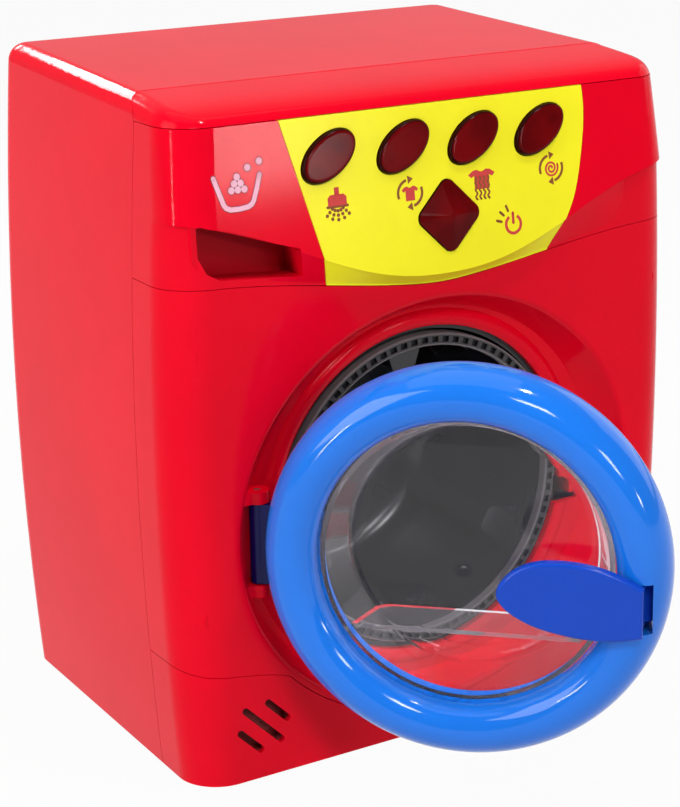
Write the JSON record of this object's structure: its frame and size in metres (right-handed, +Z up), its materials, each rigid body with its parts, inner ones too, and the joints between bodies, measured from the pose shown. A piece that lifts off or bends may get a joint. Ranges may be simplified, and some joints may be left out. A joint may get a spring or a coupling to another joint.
{
  "type": "toy washing machine",
  "caption": "Toy front-loading washing machine: round swing door with a latch lever, turning drum driven by gears, push buttons on a slanted panel and a battery bay at the back.",
  "frame": {"origin": "middle of the rest face under the base plate", "axes": "+Z up, the front with the door faces -Y, +X to the right seen from the front"},
  "size_m": [0.2484, 0.2912, 0.2879],
  "materials": {
    "red_shell": "glossy moulded plastic",
    "yellow_panel": "glossy moulded plastic",
    "button_red": "translucent glossy plastic",
    "blue_ring": "glossy moulded plastic",
    "blue_handle": "glossy moulded plastic",
    "clear_window": "clear polished plastic",
    "drum_black": "glossy moulded plastic",
    "rim_silver": "satin silver",
    "grey_plastic": "plain moulded",
    "white_gear": "plain moulded",
    "steel": "plain",
    "bronze": "sintered",
    "board_green": "lacquered",
    "lamp_clear": "translucent",
    "cell_wrap": "gloss wrap"
  },
  "bodies": {
    "cabinet": {"rear_shell": "red_shell", "front_shell": "red_shell", "kick_panel": "red_shell", "control_fascia": "red_shell", "top_lip": "red_shell", "control_panel": "yellow_panel", "base_plate": "red_shell", "back_cover": "red_shell", "battery_box": "grey_plastic", "batteries": "cell_wrap", "battery_contacts": "steel", "circuit_board": "board_green", "tact_switches": "grey_plastic", "lamps": "lamp_clear", "board_screws": "steel", "drum_tub": "grey_plastic", "tub_screws": "steel", "shaft_bushes": "bronze", "gear_plate": "grey_plastic", "gear_plate_screws": "steel", "idler_pin": "steel", "drive_motor": "steel", "speaker": "grey_plastic", "hinge_pin": "steel", "latch_keeper": "steel", "shell_screws": "steel", "cover_screws": "steel", "base_screws": "steel"},
    "door": {"door_ring_front": "blue_ring", "door_ring_back": "blue_ring", "window_lens": "clear_window", "window_bowl": "clear_window", "door_screws": "steel", "handle_pin": "steel"},
    "handle": {"door_handle": "blue_handle"},
    "drum": {"drum": "drum_black", "drum_rim": "rim_silver", "drum_paddles": "drum_black", "drum_shaft": "steel", "shaft_collar": "steel", "drum_gear": "white_gear"},
    "idler": {"idler_gear": "white_gear"},
    "pinion": {"motor_pinion": "white_gear"},
    "button_1": {"button_1": "button_red"},
    "button_2": {"button_2": "button_red"},
    "button_3": {"button_3": "button_red"},
    "button_4": {"button_4": "button_red"},
    "power_button": {"power_button": "button_red"},
    "battery_lid": {"battery_cover": "red_shell", "battery_screw": "steel"}
  },
  "joints": [
    {"name": "door_hinge", "type": "hinge", "parent": "cabinet", "child": "door", "pos_m": [-0.085, -0.0793, 0.102], "axis": [0, 0, -1], "range_deg": [-43.65, 40]},
    {"name": "handle_pivot", "type": "hinge", "parent": "door", "child": "handle", "pos_m": [0.02213, -0.19808, 0.0915], "axis": [0, 0, 1], "range_deg": [0, 6], "stiffness_Nm_per_rad": 0.4, "springref_deg": -2.86},
    {"name": "drum_spin", "type": "hinge", "parent": "cabinet", "child": "drum", "pos_m": [0, 0.0282, 0.105], "axis": [0, 1, 0], "continuous": true},
    {"name": "idler_spin", "type": "hinge", "parent": "cabinet", "child": "idler", "pos_m": [0.027, 0.0477, 0.13717], "axis": [0, 1, 0], "continuous": true},
    {"name": "pinion_spin", "type": "hinge", "parent": "cabinet", "child": "pinion", "pos_m": [0.027, 0.0477, 0.15517], "axis": [0, 1, 0], "continuous": true},
    {"name": "button_1_press", "type": "slide", "parent": "cabinet", "child": "button_1", "axis": [0, 0.9915, -0.1303], "range_m": [0, 0.0018], "stiffness_N_per_m": 500, "springref_m": -0.0012},
    {"name": "button_2_press", "type": "slide", "parent": "cabinet", "child": "button_2", "axis": [0, 0.9915, -0.1303], "range_m": [0, 0.0018], "stiffness_N_per_m": 500, "springref_m": -0.0012},
    {"name": "button_3_press", "type": "slide", "parent": "cabinet", "child": "button_3", "axis": [0, 0.9915, -0.1303], "range_m": [0, 0.0018], "stiffness_N_per_m": 500, "springref_m": -0.0012},
    {"name": "button_4_press", "type": "slide", "parent": "cabinet", "child": "button_4", "axis": [0, 0.9915, -0.1303], "range_m": [0, 0.0018], "stiffness_N_per_m": 500, "springref_m": -0.0012},
    {"name": "power_button_press", "type": "slide", "parent": "cabinet", "child": "power_button", "axis": [0, 0.9915, -0.1303], "range_m": [0, 0.0018], "stiffness_N_per_m": 500, "springref_m": -0.0012},
    {"name": "battery_cover_off", "type": "slide", "parent": "cabinet", "child": "battery_lid", "axis": [0, 1, 0], "range_m": [0, 0.03]}
  ],
  "couplings": [
    {"joint": "idler_spin", "follows": "drum_spin", "ratio": -2.5},
    {"joint": "pinion_spin", "follows": "drum_spin", "ratio": 5}
  ]
}
